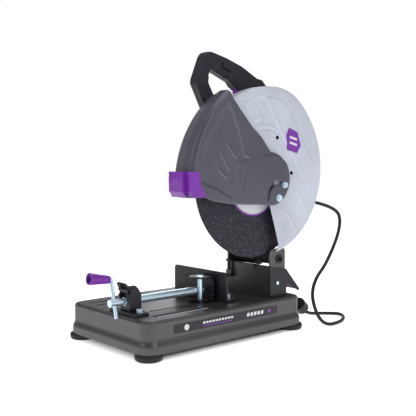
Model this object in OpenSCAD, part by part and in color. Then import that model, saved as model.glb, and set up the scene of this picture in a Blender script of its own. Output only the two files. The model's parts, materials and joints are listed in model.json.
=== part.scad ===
// Abrasive chop saw: pressed-steel base, quick-release vise, swinging motor head.
// Frame: origin on the floor under the middle of the base, +X to the operator's right,
// +Y to the back, +Z up. Units are millimetres.

/* [Base] */
// Width of the base across the operator
base_w = 289; // [270:1:310]
// Length of the base from front to back
base_l = 462; // [450:1:500]
// Height of the work surface above the floor
base_top = 82; // [76:1:90]
// Sheet thickness of the base
sheet = 3; // [2:0.5:4]
// Corner radius of the base
corner_r = 24; // [16:1:30]
// How far the lower skirt flares out
flare = 5; // [3:0.5:8]
// Height of the rubber feet
foot_h = 14; // [10:1:18]
// Radius of the rubber feet
foot_r = 30; // [20:1:32]

/* [Disc] */
// Radius of the cutting disc
disc_r = 177.5; // [170:0.5:177.5]
// Thickness of the cutting disc
disc_t = 3.2; // [2.5:0.1:3.5]
// Distance of the disc plane to the right of the base's middle
disc_x = 107; // [106:0.5:108]

/* [Head] */
// Spindle axis, front-to-back
spindle_y = 103.6; // [100:0.1:106]
// Spindle axis, height above the floor
spindle_z = 358.2; // [356:0.1:362]
// Swing axis of the head, front-to-back
pivot_y = 176; // [174:0.5:178]
// Swing axis of the head, height above the floor
pivot_z = 171; // [170:0.5:173]
// Radius of the fixed guard
guard_r = 205; // [203:0.5:206]
// Radius of the moving guard
cover_r = 264; // [263:0.5:266]
// Radius of the motor housing
motor_r = 53; // [50:1:54]

/* [Gears] */
// Gear module
gear_module = 1.25; // [1.25:0.01:1.26]
// Teeth of the pinion on the motor shaft
pinion_teeth = 11; // [11:1:11]
// Teeth of the gear on the disc spindle
wheel_teeth = 56; // [56:1:56]

/* [Vise] */
// Distance of the vise screw to the right of the base's middle
screw_x = 42; // [40:1:44]
// Height of the vise screw
screw_z = 108; // [106:1:112]
// Radius of the vise screw
screw_r = 9; // [8:0.5:9.5]
// Height of the fence above the work surface
fence_h = 69; // [60:1:72]

/* [Hidden] */

$fn = 64;
half_w = base_w / 2;
half_l = base_l / 2;
run = 0.05;                                  // radial running clearance of shafts in holes
shaft_r = 7.5;                               // swing shaft
spindle_r = 7.5;                             // disc spindle in its bearings
disc_bore_r = 12.7;                          // one-inch arbor of the disc
disc_in = disc_x - disc_t / 2;               // inner face of the disc
disc_out = disc_x + disc_t / 2;              // outer face of the disc
gear_gap = gear_module * (pinion_teeth + wheel_teeth) / 2;
motor_y = spindle_y + 9;
motor_z = spindle_z + sqrt(gear_gap * gear_gap - 81);
hinge_y = spindle_y + 45;                    // pivot bolt of the moving guard
hinge_z = spindle_z - 41;
stop_a = 58;                                 // angle of the stop bolt about the guard's pivot bolt
stop_d = 35;                                 // its distance from the pivot bolt
leg_x = 121;                                 // outer face of the bracket's right leg
leg_t = 4;
leg_far = -25;                               // outer face of the bracket's left leg
fence_y = 22;                                // working face of the fence
fence_px = 75;                               // pivot bolt of the fence
fence_py = 52;
clamp_d = 125;                               // clamp bolt's distance from that pivot
latch_y = -206;
latch_z = 132;
crank_y = -238;                              // crank arm's place along the screw
crank_tilt = 14;
arm_top = 49;                                // length of the crank arm above the screw
grip_rise = 8;                               // how far the grip's axle points up
handle_x = 44.5;                              // parting plane of the handle

steel_grey = [0.35, 0.33, 0.33];
light_grey = [0.78, 0.80, 0.84];
dark_grey = [0.33, 0.33, 0.37];
black = [0.12, 0.12, 0.14];
accent = [0.45, 0.14, 0.62];
zinc = [0.78, 0.80, 0.84];
copper = [0.72, 0.42, 0.22];

// ---- helpers -------------------------------------------------------------

module x_cyl(r, x0, x1, y, z) translate([x0, y, z]) rotate([0, 90, 0]) cylinder(r = r, h = x1 - x0);

module y_cyl(r, y0, y1, x, z) translate([x, y0, z]) rotate([-90, 0, 0]) cylinder(r = r, h = y1 - y0);

module z_cyl(r, z0, z1, x, y) translate([x, y, z0]) cylinder(r = r, h = z1 - z0);

// A prism along X whose outline is given as [y, z].
module x_prism(x0, x1) translate([x0, 0, 0]) rotate([90, 0, 90]) linear_extrude(x1 - x0) children();

// A turned body about an axis along X, with its outline given as [radius, x].
module x_turn(y, z) translate([0, y, z]) rotate([0, 90, 0]) rotate_extrude($fn = 128) children();

module box(x0, x1, y0, y1, z0, z1) translate([x0, y0, z0]) cube([x1 - x0, y1 - y0, z1 - z0]);

// A hexagonal head standing along Z.
module z_hex(across, z0, z1, x, y) translate([x, y, z0]) cylinder(d = across / cos(30), h = z1 - z0, $fn = 6);

// A hexagonal head standing along X.
module x_hex(across, x0, x1, y, z)
    translate([x0, y, z]) rotate([0, 90, 0]) cylinder(d = across / cos(30), h = x1 - x0, $fn = 6);

// A rounded rectangle about the origin.
module round_rect(w, l, r) {
    square([w - 2 * r, l], center = true);
    square([w, l - 2 * r], center = true);
    for (sx = [-1, 1], sy = [-1, 1]) translate([sx * (w / 2 - r), sy * (l / 2 - r)]) circle(r);
}

module at_corners(inset_x, inset_y)
    for (sx = [-1, 1], sy = [-1, 1]) translate([sx * (half_w - inset_x), sy * (half_l - inset_y), 0]) children();

// ---- base ----------------------------------------------------------------

// Wall section, as [outward offset, height].
wall_out = [[flare, foot_h], [flare, foot_h + 15], [flare - 1, foot_h + 19], [1.2, foot_h + 24],
    [0, foot_h + 29], [0, base_top - 6], [-1.8, base_top - 1.8], [-6, base_top]];
wall_in = [for (i = [len(wall_out) - 1:-1:0]) [wall_out[i][0] - sheet, min(wall_out[i][1], base_top - sheet)]];

module wall_run(length) rotate([90, 0, 0]) linear_extrude(length, center = true) polygon(concat(wall_out, wall_in));

module base_walls() {
    for (s = [0, 180]) rotate([0, 0, s]) translate([half_w, 0, 0]) wall_run(base_l - 2 * corner_r);
    for (s = [90, 270]) rotate([0, 0, s]) translate([half_l, 0, 0]) wall_run(base_w - 2 * corner_r);
    for (q = [0:3]) rotate([0, 0, 90 * q])
        translate([(q % 2 == 0 ? half_w : half_l) - corner_r, (q % 2 == 0 ? half_l : half_w) - corner_r, 0])
            rotate_extrude(angle = 90) translate([corner_r, 0]) polygon(concat(wall_out, wall_in));
}

// A rounded groove running along Y.
module groove(x, y0, y1, w, z0, z1) {
    box(x - w / 2, x + w / 2, y0 + w / 2, y1 - w / 2, z0, z1);
    for (y = [y0 + w / 2, y1 - w / 2]) z_cyl(w / 2, z0, z1, x, y);
}

// The arc slot for the fence's clamp bolt.
module fence_arc(z0, z1) {
    translate([fence_px, fence_py, z0]) rotate([0, 0, 150]) rotate_extrude(angle = 30)
        translate([clamp_d - 4.4, 0]) square([8.8, z1 - z0]);
    for (a = [150, 180])
        z_cyl(4.4, z0, z1, fence_px + clamp_d * cos(a), fence_py + clamp_d * sin(a));
}

bracket_bolt_x = [screw_x - 33, screw_x + 33];
bracket_bolt_y = -196;

module base_pan() color(steel_grey) difference() {
    union() {
        base_walls();
        translate([0, 0, base_top - sheet]) linear_extrude(sheet) round_rect(base_w - 12, base_l - 12, corner_r - 6);
        // corner plates that carry the feet
        intersection() {
            at_corners(20, 20) cylinder(r = 36, h = 3 * base_top, center = true);
            translate([0, 0, foot_h]) linear_extrude(sheet)
                round_rect(base_w + 2 * flare - 2, base_l + 2 * flare - 2, corner_r + flare - 1);
        }
    }
    groove(disc_x, -184, 44, 12, base_top - 2 * sheet, base_top + 1);
    for (x = [-135, -102, -73]) groove(x, -208, -14, 7, base_top - 1.4, base_top + 1);
    groove(59, -160, -24, 7, base_top - 1.4, base_top + 1);
    fence_arc(base_top - 2 * sheet, base_top + 1);
    z_cyl(4.05, base_top - 2 * sheet, base_top + 1, fence_px, fence_py);
    for (x = bracket_bolt_x) z_cyl(4.05, base_top - 2 * sheet, base_top + 1, x, bracket_bolt_y);
    at_corners(20, 20) cylinder(r = 3.05, h = 2 * foot_h);
}

module rubber_feet() color(black) at_corners(20, 20) difference() {
    rotate_extrude() polygon([[0, 0], [foot_r - 4, 0], [foot_r - 1, 3], [foot_r, foot_h - 4], [foot_r - 2, foot_h], [0, foot_h]]);
    translate([0, 0, -1]) cylinder(r = 7.5, h = 6.5);
    cylinder(r = 3.05, h = foot_h + 1);
}

module foot_screws() color(zinc) at_corners(20, 20) {
    translate([0, 0, 2.2]) cylinder(r = 5.6, h = 3.3);
    translate([0, 0, 3]) cylinder(r = 3, h = foot_h + 7);
    translate([0, 0, foot_h + sheet]) cylinder(d = 11.5, h = 5, $fn = 6);
}

module side_label() color(black) box(half_w, half_w + 0.6, -162, 145, 49, 68);

// ---- pivot bracket and its fittings ---------------------------------------

leg_outline = [[145, base_top], [197, base_top], [197, 190], [193, 196], [151, 196], [145, 190]];

module bracket_leg(x0) difference() {
    x_prism(x0, x0 + leg_t) polygon(leg_outline);
    x_cyl(shaft_r + run, x0 - 1, x0 + leg_t + 1, pivot_y, pivot_z);
}

module pivot_bracket() color(steel_grey) difference() {
    union() {
        difference() {
            box(leg_far, leg_x, 145, 149, base_top, 155);
            box(66, 78, 144, 150, 150, 156);
            y_cyl(6, 144, 150, 72, 150);
        }
        bracket_leg(leg_far);
        bracket_leg(leg_x - leg_t);
        // weld nut that carries the stop bolt
        z_hex(13, 124, 136, -12, 138);
        box(-18, -6, 140, 145, 124, 136);
    }
    z_cyl(4.05, 120, 140, -12, 138);
    x_cyl(3.05, leg_x - leg_t - 1, leg_x + 1, 167, 115);
}

module stop_bolt() color(black) {
    z_cyl(4, 116, 156, -12, 138);
    z_hex(13, 156, 161.5, -12, 138);
    z_hex(13, 117, 123.5, -12, 138);
}

module pivot_shaft() color(black) difference() {
    x_cyl(shaft_r, leg_far - 4, leg_x + 3.2, pivot_y, pivot_z);
    x_cyl(5, leg_x - 6, leg_x + 4, pivot_y, pivot_z);
    for (x = [leg_far - 2.6, leg_x + 1])
        difference() {
            x_cyl(shaft_r + 1, x, x + 1.2, pivot_y, pivot_z);
            x_cyl(6.6, x - 1, x + 2, pivot_y, pivot_z);
        }
}

module shaft_clips() color(black) for (x = [leg_far - 2.5, leg_x + 1.1]) difference() {
    x_cyl(11, x, x + 1, pivot_y, pivot_z);
    x_cyl(6.7, x - 1, x + 2, pivot_y, pivot_z);
    box(x - 1, x + 2, pivot_y - 2.5, pivot_y + 2.5, pivot_z - 14, pivot_z);
}

spring_x0 = 64;
spring_turns = 6;
spring_pitch = 6.2;
spring_coil_r = 13;

// The return spring as a row of close wire rings with a straight leg at each end.
module torsion_spring() color(zinc) {
    for (i = [0:spring_turns - 1]) translate([spring_x0 + spring_pitch * i, pivot_y, pivot_z])
        rotate([0, 90, 0]) rotate_extrude() translate([spring_coil_r, 0]) circle(2);
    x_cyl(1.6, spring_x0, spring_x0 + spring_pitch * (spring_turns - 1), pivot_y, pivot_z + spring_coil_r);
    x1 = spring_x0 + spring_pitch * (spring_turns - 1);
    translate([x1, pivot_y + spring_coil_r, pivot_z - 60]) cylinder(r = 1.7, h = 60);
    translate([spring_x0, pivot_y - spring_coil_r, pivot_z - 20]) cylinder(r = 1.7, h = 20);
}

// Side flange and sloping chute in one bent sheet.
module spark_deflector() color(black) difference() {
    union() {
        x_prism(leg_x + 0.2, leg_x + 2.7)
            polygon([[143, 155], [197.5, 146], [247, 92], [243, 88], [199.5, 110], [199.5, 84], [144, 84]]);
        x_prism(leg_far, leg_x + 2.7) polygon([[197.5, 146], [247, 92], [245.2, 90.3], [197.5, 142.3]]);
    }
    x_cyl(3.05, leg_x - 1, leg_x + 4, 167, 115);
}

module deflector_screw() color(zinc) {
    x_cyl(4, leg_x + 2.7, leg_x + 5, 167, 115);
    x_cyl(3, leg_x - leg_t - 4, leg_x + 4, 167, 115);
    x_hex(10, leg_x - leg_t - 4.5, leg_x - leg_t - 0.1, 167, 115);
}

// ---- vise ------------------------------------------------------------------

cheek_outline = [[-206, base_top + 6], [-184, base_top + 6], [-184, 124], [-192, 137], [-199, 143], [-212, 143],
    [-214.5, 137], [-208.5, 128], [-214.5, 119], [-211, 100]];

module vise_bracket() color(black) difference() {
    union() {
        translate([screw_x, -201, base_top]) linear_extrude(6) round_rect(100, 36, 6);
        for (x = [screw_x - 21, screw_x + 15]) x_prism(x, x + 6) polygon(cheek_outline);
        box(screw_x - 16, screw_x + 16, -210, -186, base_top + 5, screw_z - 1);
    }
    y_cyl(screw_r + run, -230, -170, screw_x, screw_z);
    x_cyl(4 + run, screw_x - 30, screw_x + 30, latch_y, latch_z);
    for (x = bracket_bolt_x) z_cyl(4.1, base_top - 1, base_top + 7, x, bracket_bolt_y);
}

module floor_bolt(x, y, seat) {
    z_cyl(8, seat, seat + 1.6, x, y);
    z_hex(13, seat + 1.6, seat + 7, x, y);
    z_cyl(4, base_top - 16, seat + 2, x, y);
    z_hex(13, base_top - sheet - 6.5, base_top - sheet - 0.1, x, y);
}

module bracket_bolts() color(zinc) for (x = bracket_bolt_x) floor_bolt(x, bracket_bolt_y, base_top + 6);

module latch_pin() color(black) {
    x_cyl(4, screw_x - 23, screw_x + 23, latch_y, latch_z);
    for (x = [screw_x - 23.2, screw_x + 21.4]) x_cyl(6, x, x + 1.8, latch_y, latch_z);
}

// Upper half shoe that clamps the screw, with its finger lever.
module release_latch() color(black) difference() {
    union() {
        box(screw_x - 14, screw_x + 14, -205, -187, screw_z + 1, 127);
        x_cyl(8, screw_x - 14, screw_x + 14, latch_y, latch_z);
        box(screw_x - 14, screw_x + 14, -204, -196, 124, latch_z + 2);
        x_prism(screw_x - 14, screw_x - 4)
            polygon([[-206, 138], [-212, 147], [-219, 149], [-223, 146], [-220, 140], [-212, 131], [-208, 128]]);
    }
    y_cyl(screw_r + run, -230, -170, screw_x, screw_z);
    x_cyl(4 + run, screw_x - 30, screw_x + 30, latch_y, latch_z);
}

jaw_face = 16;                               // clamping face of the sliding jaw
pin_off = 12;
pin_y = -13;
pin_r = 5.3;

module jaw_lug(z0) difference() {
    union() {
        z_cyl(24, z0, z0 + 4, screw_x, -4);
        box(screw_x - 24, screw_x + 24, -4, jaw_face, z0, z0 + 4);
    }
    box(screw_x - 40, screw_x + 40, jaw_face, 60, z0 - 1, z0 + 5);
    z_cyl(pin_r, z0 - 1, z0 + 5, screw_x + pin_off, pin_y);
}

module vise_jaw() color(black) union() {
    box(-32, 70, jaw_face - 5, jaw_face, base_top + 2, 133);
    box(screw_x - 24, screw_x + 24, jaw_face - 5, jaw_face, 130, 140);
    jaw_lug(136);
    jaw_lug(base_top + 3);
}

module jaw_pin() color(zinc) {
    z_cyl(pin_r, base_top + 1.5, 141, screw_x + pin_off, pin_y);
    z_cyl(8, 140, 143, screw_x + pin_off, pin_y);
}

// The screw, with the neck that the jaw pin holds.
module vise_screw() color(zinc) difference() {
    union() {
        y_cyl(8, -250, -200, screw_x, screw_z);
        y_cyl(screw_r, -214, -18.6, screw_x, screw_z);
        y_cyl(6.6, -20, -5, screw_x, screw_z);
        y_cyl(7.6, -7.4, 2.6, screw_x, screw_z);
        for (y = [-7.4, -4.4, -1.4]) y_cyl(screw_r, y, y + 1.6, screw_x, screw_z);
    }
    translate([screw_x, crank_y, screw_z]) rotate([0, -crank_tilt, 0]) cylinder(r = 4, h = 40, center = true);
}

// The crank arm in the screw's cross hole, and the axle at its top for the grip.
module crank_arm() color(zinc) translate([screw_x, crank_y, screw_z]) rotate([0, -crank_tilt, 0]) {
    translate([0, 0, -33]) cylinder(r = 4, h = arm_top + 33);
    translate([0, 0, arm_top]) sphere(4);
    translate([0, 0, arm_top]) rotate([90 - grip_rise, 0, 0]) {
        cylinder(r = 4, h = 40);
        translate([0, 0, 40]) cylinder(r = 6, h = 2);
    }
}

module crank_grip() color(accent) translate([screw_x, crank_y, screw_z]) rotate([0, -crank_tilt, 0])
    translate([0, 0, arm_top]) rotate([90 - grip_rise, 0, 0]) translate([0, 0, 5]) difference() {
        union() {
            cylinder(r1 = 8.5, r2 = 12.5, h = 44);
            translate([0, 0, 44]) cylinder(r = 12.5, h = 4);
        }
        translate([0, 0, -1]) cylinder(r = 4 + run, h = 60);
        translate([0, 0, 32]) cylinder(r = 9, h = 30);
    }

// ---- fence -----------------------------------------------------------------

module fence() color(black) difference() {
    union() {
        translate([0, fence_y + 5, 0]) rotate([90, 0, 0]) linear_extrude(5) polygon([[-81, base_top],
            [-81, base_top + fence_h - 5], [-76, base_top + fence_h], [96, base_top + fence_h],
            [104, base_top + fence_h - 11], [104, base_top]]);
        translate([12, 49, base_top]) linear_extrude(5) round_rect(174, 54, 6);
    }
    z_cyl(4 + run, base_top - 1, base_top + 6, fence_px, fence_py);
    z_cyl(4.05, base_top - 1, base_top + 6, fence_px - clamp_d, fence_py);
}

module fence_pivot_bolt() color(zinc) floor_bolt(fence_px, fence_py, base_top + 5.1);

module fence_clamp_bolt() color(zinc) translate([fence_px - clamp_d, fence_py, 0]) {
    z_cyl(8, base_top + 5, base_top + 6.6, 0, 0);
    z_hex(13, base_top + 6.6, base_top + 12, 0, 0);
    z_cyl(4, base_top - 16, base_top + 7, 0, 0);
    z_cyl(8, base_top - sheet - 1.8, base_top - sheet - 0.1, 0, 0);
    z_hex(13, base_top - sheet - 8, base_top - sheet - 1.8, 0, 0);
}

// ---- cord ------------------------------------------------------------------

cord_r = 4.2;
cord_bend = 32;                              // bend radius of the cord's hanging part
floor_bend = 18;                             // bend radius of the loop on the floor
sleeve_start = [30, 167, 338.7];
sleeve_end = [30, 236, 322];
cord_joint = [117.1, 397.2, 205.9];          // where the head's length meets the base's length
cord_upper = [sleeve_end, [30, 262, 315.7], [97, 418, 285], [108, 428, 236], cord_joint];
cord_lower = [cord_joint, [134, 340, 150], [150, 270, 113], [155, 255, 66], [176, 272, 5], [176, 352, 5],
    [120, 424, 5], [84, 392, 5], [98, 318, 16], [96, 300, 24]];

function unit(v) = v / norm(v);
function heading(points, i) = unit(points[i + 1] - points[i]);
function turn_at(points, i) = acos(heading(points, i - 1) * heading(points, i));
function cut_back(points, i, bend) =
    i == 0 || i == len(points) - 1 ? 0 : bend * tan(turn_at(points, i) / 2);

// Which way round its own axis a path turns when its direction changes from d to e.
function turn_side(d, e) = let (lean = acos(d[2]), swing = atan2(d[1], d[0]))
    atan2(e * [-sin(swing), cos(swing), 0], e * [cos(lean) * cos(swing), cos(lean) * sin(swing), -sin(lean)]);

// Stands a body along +Z at a point, leaning along a direction.
module along(at, d) translate(at) rotate([0, acos(d[2]), atan2(d[1], d[0])]) children();

// A round rod along a path of points, with a bend of constant radius at every corner.
module tube_path(points, r, bend) {
    $fn = 32;
    for (i = [0:len(points) - 2]) {
        d = heading(points, i);
        start = cut_back(points, i, bend);
        end = cut_back(points, i + 1, bend);
        along(points[i] + start * d, d) cylinder(r = r, h = norm(points[i + 1] - points[i]) - start - end);
    }
    for (i = [1:len(points) - 2]) {
        d = heading(points, i - 1);
        a = turn_at(points, i);
        along(points[i] - cut_back(points, i, bend) * d, d) rotate([0, 0, turn_side(d, heading(points, i))])
            translate([bend, 0, 0]) rotate([90, 0, 0]) rotate([0, 0, 180 - a])
                rotate_extrude(angle = a) translate([bend, 0]) circle(r);
    }
}

module power_cord() color(black) tube_path(cord_lower, cord_r, floor_bend);

module cord_plug() color(black) translate(cord_lower[len(cord_lower) - 1]) rotate([0, -55, 105]) difference() {
    union() {
        cylinder(r1 = 6, r2 = 9, h = 20);
        translate([0, 0, 18]) cylinder(r = 16, h = 28);
        for (s = [-1, 1]) translate([s * 9.5, 0, 45]) cylinder(r = 2.3, h = 19);
    }
    translate([0, 0, -1]) cylinder(r = cord_r, h = 12);
}

module cord_sleeve() color(black) union() {
    sleeve = sleeve_end - sleeve_start;
    along(sleeve_start, unit(sleeve)) cylinder(r1 = 9, r2 = 6, h = norm(sleeve));
    tube_path(cord_upper, cord_r, cord_bend);
}

// ---- swinging head ---------------------------------------------------------

gear_x0 = 62;                                // drive gear and pinion
gear_x1 = 74;
case_x0 = 50;                                // rear face of the gearcase
case_x1 = 82;                                // front face, where the fixed guard is screwed on
case_wall = 4;
nose_r = 24;
lock_pin_y = spindle_y - 36;                 // spindle lock pin
lock_pin_z = spindle_z - 16;

// Outline round two circles, the lower one round the spindle and the upper one round the motor.
module case_outline(grow) {
    translate([spindle_y, spindle_z]) circle(50 + grow);
    translate([motor_y, motor_z]) circle(36 + grow);
    translate([spindle_y, spindle_z]) rotate(-12) translate([-42 - grow, 0]) square([84 + 2 * grow, 52]);
}

arm_outline = [[pivot_y - 20, pivot_z], [pivot_y - 17, pivot_z + 14], [spindle_y - 34, spindle_z - 30],
    [spindle_y + 46, spindle_z - 20], [pivot_y + 12, pivot_z + 60], [pivot_y + 20, pivot_z + 4]];

// Swing arm, spring seat and gearcase in one casting.
module head_arm() color(black) difference() {
    union() {
        x_cyl(20, leg_far + leg_t + 0.4, 58, pivot_y, pivot_z);
        x_prism(2, 22) polygon(arm_outline);
        x_prism(30, case_x0 + 4) polygon(arm_outline);
        x_prism(0, case_x0 + 4) polygon([[pivot_y - 17, pivot_z + 14], [pivot_y + 2, pivot_z + 18],
            [spindle_y + 30, spindle_z - 40], [spindle_y - 10, spindle_z - 38]]);
        x_prism(case_x0, case_x1 - 4) case_outline(0);
        // boss that the cord leaves from
        x_prism(18, 42) polygon([[spindle_y + 38, spindle_z - 44], [spindle_y + 66, spindle_z - 34],
            [spindle_y + 66, spindle_z - 6], [spindle_y + 38, spindle_z - 12]]);
        // spigot that the motor housing fits over
        x_cyl(motor_r - 3.1, case_x0 - 8, case_x0 + 1, motor_y, motor_z);
        // lug that meets the stop bolt
        box(-20, -4, pivot_y - 28, pivot_y - 10, pivot_z + 2, pivot_z + 14);
    }
    x_cyl(shaft_r + run, leg_far, 70, pivot_y, pivot_z);
    // gear chamber, round the boss of the rear spindle bearing
    difference() {
        x_prism(case_x0 + case_wall, case_x1) case_outline(-case_wall);
        x_cyl(17, case_x0, case_x0 + 9, spindle_y, spindle_z);
    }
    // rear spindle bearing seat, motor shaft hole and motor bearing seat
    x_cyl(13.02, case_x0 + 1, case_x0 + 10, spindle_y, spindle_z);
    x_cyl(13.02, case_x0 - 4, case_x0 + case_wall + 1, motor_y, motor_z);
    x_cyl(8, case_x0 - 10, case_x0, motor_y, motor_z);
    x_cyl(4 + run, case_x0 - 1, case_x0 + 6, lock_pin_y, lock_pin_z);
}

module gearcase_cover() color([0.55, 0.56, 0.58]) difference() {
    union() {
        x_prism(case_x1 - 4, case_x1) case_outline(0);
        x_cyl(nose_r, case_x1, case_x1 + 12, spindle_y, spindle_z);
    }
    x_cyl(17.52, case_x1 - 3, case_x1 + 9.1, spindle_y, spindle_z);
    x_cyl(11, case_x1 - 5, case_x1 + 13, spindle_y, spindle_z);
    x_cyl(8.02, case_x1 - 5, case_x1 - 1.5, motor_y, motor_z);
    for (a = guard_screw_a) x_cyl(3.05, case_x1 - 5, case_x1 + 1, spindle_y + 40 * cos(a), spindle_z + 40 * sin(a));
}

guard_screw_a = [20, 160, 225, 315];
motor_x0 = -100;                             // outer end of the motor
cap_x = -72;                                 // where the end cap starts

module motor_housing() color(black) difference() {
    union() {
        x_cyl(motor_r, cap_x, case_x0, motor_y, motor_z);
        // brush holder bosses, front and back
        for (s = [-1, 1]) y_boss(s);
    }
    x_cyl(motor_r - 3, cap_x - 1, case_x0 + 1, motor_y, motor_z);
    for (s = [-1, 1]) translate([brush_x, motor_y + s * (motor_r - 12), motor_z]) rotate([-90 * s, 0, 0])
        cylinder(r = 7.05, h = 30);
}

brush_x = -44;

module y_boss(s) translate([brush_x, motor_y + s * (motor_r - 8), motor_z]) rotate([-90 * s, 0, 0]) cylinder(r = 11, h = 12);

module motor_end_cap() color(black) difference() {
    union() {
        x_cyl(motor_r, motor_x0 + 10, cap_x, motor_y, motor_z);
        translate([motor_x0, motor_y, motor_z]) rotate([0, 90, 0]) cylinder(r1 = motor_r - 9, r2 = motor_r, h = 10);
    }
    x_cyl(motor_r - 3, motor_x0 + 10, cap_x + 1, motor_y, motor_z);
    // cooling slots
    for (i = [0:15]) translate([motor_x0 - 1, motor_y, motor_z]) rotate([22.5 * i, 0, 0])
        translate([0, -2, 24]) cube([12, 4, 16]);
    x_cyl(11.02, motor_x0 + 4, motor_x0 + 11, motor_y, motor_z);
}

module field_coil() color([0.5, 0.5, 0.52]) difference() {
    x_cyl(motor_r - 3.1, -28, 26, motor_y, motor_z);
    x_cyl(27, -30, 28, motor_y, motor_z);
    for (s = [-1, 1]) box(-30, 28, motor_y - 13, motor_y + 13, motor_z + s * 36 - 6, motor_z + s * 36 + 6);
}

module brush_caps() color(black) for (s = [-1, 1]) translate([brush_x, motor_y + s * (motor_r - 12), motor_z])
    rotate([-90 * s, 0, 0]) difference() {
        cylinder(r = 7, h = 14);
        translate([-1, -5, 12.5]) cube([2, 10, 3]);
    }

module ball_bearing(bore, outer, x0, x1, y, z) {
    w = x1 - x0;
    ball = (outer - bore) * 0.3;
    mid = (outer + bore) / 2;
    difference() {
        x_cyl(outer, x0, x1, y, z);
        x_cyl(mid + ball * 0.62, x0 - 1, x1 + 1, y, z);
    }
    difference() {
        x_cyl(mid - ball * 0.62, x0, x1, y, z);
        x_cyl(bore, x0 - 1, x1 + 1, y, z);
    }
    difference() {
        x_cyl(mid + ball * 0.64, x0 + w * 0.35, x1 - w * 0.35, y, z);
        x_cyl(mid - ball * 0.64, x0, x1, y, z);
    }
}

module spindle_bearings() color(zinc) {
    ball_bearing(spindle_r + 0.02, 17.5, case_x1 - 2.5, case_x1 + 8.5, spindle_y, spindle_z);
    ball_bearing(5.02, 13, case_x0 + 1.1, case_x0 + 9, spindle_y, spindle_z);
}

module motor_bearings() color(zinc) {
    ball_bearing(5.02, 13, case_x0 - 3.9, case_x0 + 4, motor_y, motor_z);
    ball_bearing(4.02, 11, motor_x0 + 4.1, motor_x0 + 11, motor_y, motor_z);
    ball_bearing(3.52, 8, case_x1 - 5, case_x1 - 1.6, motor_y, motor_z);
}

// ---- gears and rotating parts ------------------------------------------------

pressure_a = 25;
tooth_steps = 4;
backlash = 0.06;

function involute(base, a) = [base * (cos(a) + a * PI / 180 * sin(a)), base * (sin(a) - a * PI / 180 * cos(a))];
function spin(p, a) = [p[0] * cos(a) - p[1] * sin(a), p[0] * sin(a) + p[1] * cos(a)];
function unwind(base, r) = r <= base ? 0 : sqrt(r * r / (base * base) - 1) * 180 / PI;

// A spur gear outline with stub involute teeth and a little backlash, as one polygon.
module gear_outline(teeth) {
    pitch = gear_module * teeth / 2;
    base = pitch * cos(pressure_a);
    tip = pitch + 0.85 * gear_module;
    root = pitch - 1.1 * gear_module;
    start = max(base, root);
    at_pitch = involute(base, unwind(base, pitch));
    half = 90 / teeth - backlash / pitch * 180 / PI + atan2(at_pitch[1], at_pitch[0]);
    flank = [for (i = [0:tooth_steps]) involute(base, unwind(base, start + (tip - start) * i / tooth_steps))];
    foot = start > root ? [spin([root, 0], -half)] : [];
    near_side = concat(foot, [for (p = flank) spin(p, -half)]);
    far_side = [for (i = [len(near_side) - 1:-1:0]) [near_side[i][0], -near_side[i][1]]];
    polygon([for (k = [0:teeth - 1], p = concat(near_side, far_side)) spin(p, 360 * k / teeth)]);
}

// Direction from the spindle to the motor shaft, and the turn that puts a tooth into a gap.
mesh_a = atan2(motor_z - spindle_z, motor_y - spindle_y);

module drive_gear() color(zinc) difference() {
    x_prism(gear_x0, gear_x1) translate([spindle_y, spindle_z]) rotate(mesh_a) gear_outline(wheel_teeth);
    x_cyl(spindle_r + 0.5, gear_x0 - 1, gear_x1 + 1, spindle_y, spindle_z);
    for (i = [0:5]) x_cyl(5, gear_x0 - 1, gear_x1 + 1, spindle_y + 20 * cos(60 * i), spindle_z + 20 * sin(60 * i));
}

module armature() color(copper) {
    x_cyl(4, motor_x0 + 4, -58, motor_y, motor_z);
    x_cyl(5, -58, case_x0 + 5, motor_y, motor_z);
    x_cyl(26, -28, 26, motor_y, motor_z);
    x_cyl(15, -56, -34, motor_y, motor_z);
    x_cyl(20, -34, -28, motor_y, motor_z);
    x_prism(case_x0 + 5, gear_x1 + 1) translate([motor_y, motor_z]) rotate(mesh_a + 180 + 180 / pinion_teeth)
        gear_outline(pinion_teeth);
    x_cyl(3.5, gear_x1, case_x1 - 1.6, motor_y, motor_z);
}

module cooling_fan() color(black) difference() {
    union() {
        x_cyl(12, 30, 38, motor_y, motor_z);
        x_cyl(44, 30, 32, motor_y, motor_z);
        for (i = [0:11]) translate([31, motor_y, motor_z]) rotate([30 * i, 0, 0]) translate([0, -1, 11]) cube([7, 2, 32]);
    }
    x_cyl(5.01, 28, 40, motor_y, motor_z);
}

module spindle() color(zinc) {
    x_cyl(5, case_x0 + 1.2, case_x0 + 9.5, spindle_y, spindle_z);
    x_cyl(spindle_r + 0.5, case_x0 + 9.5, case_x1 - 2.6, spindle_y, spindle_z);
    x_cyl(spindle_r, case_x1 - 2.6, disc_in - 8, spindle_y, spindle_z);
    difference() {
        x_cyl(disc_bore_r - 0.1, disc_in - 8, disc_out + 1, spindle_y, spindle_z);
        x_cyl(5.05, disc_out - 11.2, disc_out + 2, spindle_y, spindle_z);
    }
}

module inner_flange() color(zinc) difference() {
    union() {
        x_cyl(38, disc_in - 5, disc_in, spindle_y, spindle_z);
        x_cyl(22, disc_in - 8, disc_in - 4, spindle_y, spindle_z);
    }
    x_cyl(35, disc_in - 0.8, disc_in + 1, spindle_y, spindle_z);
    x_cyl(disc_bore_r, disc_in - 9, disc_in + 1, spindle_y, spindle_z);
}

module cutting_disc() color(black) difference() {
    x_cyl(disc_r, disc_in, disc_out, spindle_y, spindle_z);
    x_cyl(disc_bore_r, disc_in - 1, disc_out + 1, spindle_y, spindle_z);
}

module disc_label() color("white") difference() {
    x_cyl(83, disc_out, disc_out + 0.4, spindle_y, spindle_z);
    x_cyl(38.5, disc_out - 1, disc_out + 1, spindle_y, spindle_z);
}

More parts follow.
